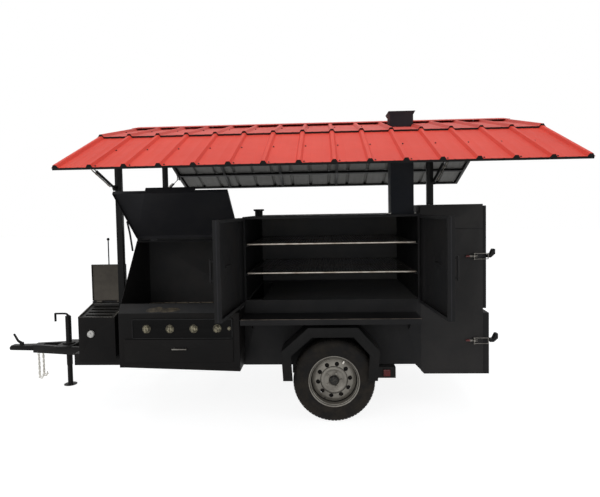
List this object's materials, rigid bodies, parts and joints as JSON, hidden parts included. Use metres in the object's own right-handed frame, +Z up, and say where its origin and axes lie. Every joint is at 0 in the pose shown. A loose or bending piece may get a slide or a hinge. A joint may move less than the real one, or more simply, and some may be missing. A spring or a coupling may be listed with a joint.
{
  "type": "offset smoker trailer",
  "caption": "Towable barbecue trailer: an offset smoker with a firebox cabinet, a gas grill and a fryer under a ridged metal roof with side flaps on gas struts.",
  "frame": {"origin": "on the ground under the middle of the trailer's length and width", "axes": "+X along the trailer from the tongue to the firebox cabinet, -Y towards the serving side, +Z up"},
  "size_m": [4.8744, 3.3448, 2.5386],
  "materials": {
    "body_paint": "satin black stove paint",
    "trailer_paint": "satin black",
    "red_roofing": "factory painted red sheet, satin",
    "silver_paint": "silver wheel paint",
    "tyre": "matt black",
    "bright_zinc": "bright zinc plate",
    "bare_steel": "bare round bar",
    "stainless": "used stainless sheet",
    "cast": "seasoned black",
    "lens": "clear red lens"
  },
  "bodies": {
    "base": {"chassis_frame": "trailer_paint", "tongue_frame": "trailer_paint", "coupler": "trailer_paint", "safety_chains": "bright_zinc", "jack_tube": "trailer_paint", "axle": "trailer_paint", "leaf_spring_near": "trailer_paint", "leaf_spring_far": "trailer_paint", "fender_near": "trailer_paint", "fender_far": "trailer_paint", "marker_lamp_near": "lens", "marker_lamp_far": "lens", "smoke_chamber": "body_paint", "chimney": "body_paint", "cabinet_shell": "body_paint", "fire_grate": "cast", "grill_body": "body_paint", "cooking_grate": "cast", "burners": "bare_steel", "fryer_body": "body_paint", "roof_frame": "trailer_paint", "roof_sheet": "red_roofing"},
    "wheel_near": {"wheel_rim_near": "silver_paint", "tyre_near": "tyre"},
    "wheel_far": {"wheel_rim_far": "silver_paint", "tyre_far": "tyre"},
    "jack_crank": {"jack_crank": "bright_zinc"},
    "jack_leg": {"jack_leg": "trailer_paint"},
    "coupler_latch": {"coupler_latch": "trailer_paint"},
    "chamber_door_left": {"chamber_door_left": "body_paint"},
    "chamber_door_right": {"chamber_door_right": "body_paint"},
    "rack_lower": {"rack_lower": "bare_steel"},
    "rack_upper": {"rack_upper": "bare_steel"},
    "cabinet_door": {"cabinet_door": "body_paint"},
    "firebox_door": {"firebox_door": "body_paint"},
    "upper_latch_lever": {"upper_latch_lever": "bright_zinc"},
    "upper_latch_hook": {"upper_latch_hook": "bright_zinc"},
    "lower_latch_lever": {"lower_latch_lever": "bright_zinc"},
    "lower_latch_hook": {"lower_latch_hook": "bright_zinc"},
    "grill_hood": {"grill_hood": "body_paint"},
    "grease_drawer": {"grease_drawer": "body_paint"},
    "knob_1": {"knob_1": "bright_zinc"},
    "knob_2": {"knob_2": "bright_zinc"},
    "knob_3": {"knob_3": "bright_zinc"},
    "knob_4": {"knob_4": "bright_zinc"},
    "igniter": {"igniter": "bright_zinc"},
    "fryer_lid": {"fryer_lid": "stainless"},
    "fryer_dial": {"fryer_dial": "bright_zinc"},
    "front_flap": {"front_flap_frame": "trailer_paint", "front_flap_sheet": "red_roofing"},
    "rear_flap": {"rear_flap_frame": "trailer_paint", "rear_flap_sheet": "red_roofing"},
    "strut_cylinder_front_left": {"strut_cylinder_front_left": "trailer_paint"},
    "strut_rod_front_left": {"strut_rod_front_left": "bright_zinc"},
    "strut_cylinder_front_right": {"strut_cylinder_front_right": "trailer_paint"},
    "strut_rod_front_right": {"strut_rod_front_right": "bright_zinc"},
    "strut_cylinder_rear_left": {"strut_cylinder_rear_left": "trailer_paint"},
    "strut_rod_rear_left": {"strut_rod_rear_left": "bright_zinc"},
    "strut_cylinder_rear_right": {"strut_cylinder_rear_right": "trailer_paint"},
    "strut_rod_rear_right": {"strut_rod_rear_right": "bright_zinc"}
  },
  "joints": [
    {"name": "wheel_near_spin", "type": "hinge", "parent": "base", "child": "wheel_near", "pos_m": [0.79875, -0.8205, 0.33], "axis": [0, 1, 0], "continuous": true},
    {"name": "wheel_far_spin", "type": "hinge", "parent": "base", "child": "wheel_far", "pos_m": [0.79875, 0.8205, 0.33], "axis": [0, 1, 0], "continuous": true},
    {"name": "jack_crank_turn", "type": "hinge", "parent": "base", "child": "jack_crank", "pos_m": [-1.82725, 0, 0.69], "axis": [0, 0, 1], "range_deg": [0, 13680]},
    {"name": "jack_leg_slide", "type": "slide", "parent": "base", "child": "jack_leg", "axis": [0, 0, 1], "range_m": [0, 0.19]},
    {"name": "coupler_latch_turn", "type": "hinge", "parent": "base", "child": "coupler_latch", "pos_m": [-2.31125, 0, 0.418], "axis": [0, 1, 0], "range_deg": [0, 70]},
    {"name": "chamber_door_left_swing", "type": "hinge", "parent": "base", "child": "chamber_door_left", "pos_m": [0.04275, -0.71, 1.2875], "axis": [0, 0, -1], "range_deg": [-94.5, 0]},
    {"name": "chamber_door_right_swing", "type": "hinge", "parent": "base", "child": "chamber_door_right", "pos_m": [1.54275, -0.71, 1.2875], "axis": [0, 0, 1], "range_deg": [-94.5, 70]},
    {"name": "rack_lower_slide", "type": "slide", "parent": "base", "child": "rack_lower", "axis": [0, -1, 0], "range_m": [0, 0.45]},
    {"name": "rack_upper_slide", "type": "slide", "parent": "base", "child": "rack_upper", "axis": [0, -1, 0], "range_m": [0, 0.45]},
    {"name": "cabinet_door_swing", "type": "hinge", "parent": "base", "child": "cabinet_door", "pos_m": [2.05535, 0.696, 1.291], "axis": [0, 0, 1], "range_deg": [0, 110]},
    {"name": "firebox_door_swing", "type": "hinge", "parent": "base", "child": "firebox_door", "pos_m": [2.05535, 0.696, 0.5715], "axis": [0, 0, 1], "range_deg": [0, 110]},
    {"name": "upper_latch_lever_turn", "type": "hinge", "parent": "base", "child": "upper_latch_lever", "pos_m": [1.98305, -0.705, 1.302], "axis": [0, 0, 1], "range_deg": [0, 90]},
    {"name": "upper_latch_hook_turn", "type": "hinge", "parent": "upper_latch_lever", "child": "upper_latch_hook", "pos_m": [1.96305, -0.717, 1.302], "axis": [0, 0, 1], "range_deg": [-108, 0]},
    {"name": "lower_latch_lever_turn", "type": "hinge", "parent": "base", "child": "lower_latch_lever", "pos_m": [1.98305, -0.705, 0.602], "axis": [0, 0, 1], "range_deg": [0, 90]},
    {"name": "lower_latch_hook_turn", "type": "hinge", "parent": "lower_latch_lever", "child": "lower_latch_hook", "pos_m": [1.96305, -0.717, 0.602], "axis": [0, 0, 1], "range_deg": [-108, 0]},
    {"name": "grill_hood_lift", "type": "hinge", "parent": "base", "child": "grill_hood", "pos_m": [-0.46975, -0.471, 1.472], "axis": [-1, 0, 0], "range_deg": [-86.5, 0]},
    {"name": "grease_drawer_slide", "type": "slide", "parent": "base", "child": "grease_drawer", "axis": [0, -1, 0], "range_m": [0, 0.5]},
    {"name": "knob_1_turn", "type": "hinge", "parent": "base", "child": "knob_1", "pos_m": [-0.69525, -0.9623, 0.776], "axis": [0, -1, 0], "range_deg": [0, 240]},
    {"name": "knob_2_turn", "type": "hinge", "parent": "base", "child": "knob_2", "pos_m": [-0.50525, -0.9623, 0.776], "axis": [0, -1, 0], "range_deg": [0, 240]},
    {"name": "knob_3_turn", "type": "hinge", "parent": "base", "child": "knob_3", "pos_m": [-0.31325, -0.9623, 0.776], "axis": [0, -1, 0], "range_deg": [0, 240]},
    {"name": "knob_4_turn", "type": "hinge", "parent": "base", "child": "knob_4", "pos_m": [-0.12425, -0.9623, 0.776], "axis": [0, -1, 0], "range_deg": [0, 240]},
    {"name": "igniter_press", "type": "slide", "parent": "base", "child": "igniter", "axis": [0, 1, 0], "range_m": [0, 0.003], "stiffness_N_per_m": 1500, "springref_m": -0.002},
    {"name": "fryer_lid_lift", "type": "hinge", "parent": "base", "child": "fryer_lid", "pos_m": [-1.18975, -0.487, 0.915], "axis": [-1, 0, 0], "range_deg": [-103, 0]},
    {"name": "fryer_dial_turn", "type": "hinge", "parent": "base", "child": "fryer_dial", "pos_m": [-1.23725, -0.7703, 0.693], "axis": [0, -1, 0], "range_deg": [0, 270]},
    {"name": "front_flap_fold", "type": "hinge", "parent": "base", "child": "front_flap", "pos_m": [0.69475, -0.855, 2.323], "axis": [-1, 0, 0], "range_deg": [-25, 0]},
    {"name": "rear_flap_fold", "type": "hinge", "parent": "base", "child": "rear_flap", "pos_m": [0.69475, 0.855, 2.323], "axis": [1, 0, 0], "range_deg": [-25, 0]},
    {"name": "strut_front_left_swing", "type": "hinge", "parent": "base", "child": "strut_cylinder_front_left", "pos_m": [-1.02425, -0.703, 1.92], "axis": [-1, 0, 0], "range_deg": [-13.06, 0]},
    {"name": "strut_front_left_slide", "type": "slide", "parent": "strut_cylinder_front_left", "child": "strut_rod_front_left", "axis": [0, -0.9455, 0.3257], "range_m": [-0.1575, 0]},
    {"name": "strut_front_right_swing", "type": "hinge", "parent": "base", "child": "strut_cylinder_front_right", "pos_m": [1.63775, -0.703, 1.92], "axis": [-1, 0, 0], "range_deg": [-13.06, 0]},
    {"name": "strut_front_right_slide", "type": "slide", "parent": "strut_cylinder_front_right", "child": "strut_rod_front_right", "axis": [0, -0.9455, 0.3257], "range_m": [-0.1575, 0]},
    {"name": "strut_rear_left_swing", "type": "hinge", "parent": "base", "child": "strut_cylinder_rear_left", "pos_m": [-1.02425, 0.703, 1.92], "axis": [1, 0, 0], "range_deg": [-13.06, 0]},
    {"name": "strut_rear_left_slide", "type": "slide", "parent": "strut_cylinder_rear_left", "child": "strut_rod_rear_left", "axis": [0, 0.9455, 0.3257], "range_m": [-0.1575, 0]},
    {"name": "strut_rear_right_swing", "type": "hinge", "parent": "base", "child": "strut_cylinder_rear_right", "pos_m": [1.63775, 0.703, 1.92], "axis": [1, 0, 0], "range_deg": [-13.06, 0]},
    {"name": "strut_rear_right_slide", "type": "slide", "parent": "strut_cylinder_rear_right", "child": "strut_rod_rear_right", "axis": [0, 0.9455, 0.3257], "range_m": [-0.1575, 0]}
  ],
  "couplings": [
    {"joint": "jack_leg_slide", "follows": "jack_crank_turn", "m_per_rad": 0.00079577},
    {"joint": "upper_latch_hook_turn", "follows": "upper_latch_lever_turn", "ratio": -1.2},
    {"joint": "lower_latch_hook_turn", "follows": "lower_latch_lever_turn", "ratio": -1.2},
    {"joint": "strut_front_left_swing", "follows": "front_flap_fold", "ratio": 0.52175},
    {"joint": "strut_front_left_slide", "follows": "front_flap_fold", "m_per_rad": 0.3597},
    {"joint": "strut_front_right_swing", "follows": "front_flap_fold", "ratio": 0.52175},
    {"joint": "strut_front_right_slide", "follows": "front_flap_fold", "m_per_rad": 0.3597},
    {"joint": "strut_rear_left_swing", "follows": "rear_flap_fold", "ratio": 0.52175},
    {"joint": "strut_rear_left_slide", "follows": "rear_flap_fold", "m_per_rad": 0.3597},
    {"joint": "strut_rear_right_swing", "follows": "rear_flap_fold", "ratio": 0.52175},
    {"joint": "strut_rear_right_slide", "follows": "rear_flap_fold", "m_per_rad": 0.3597}
  ]
}
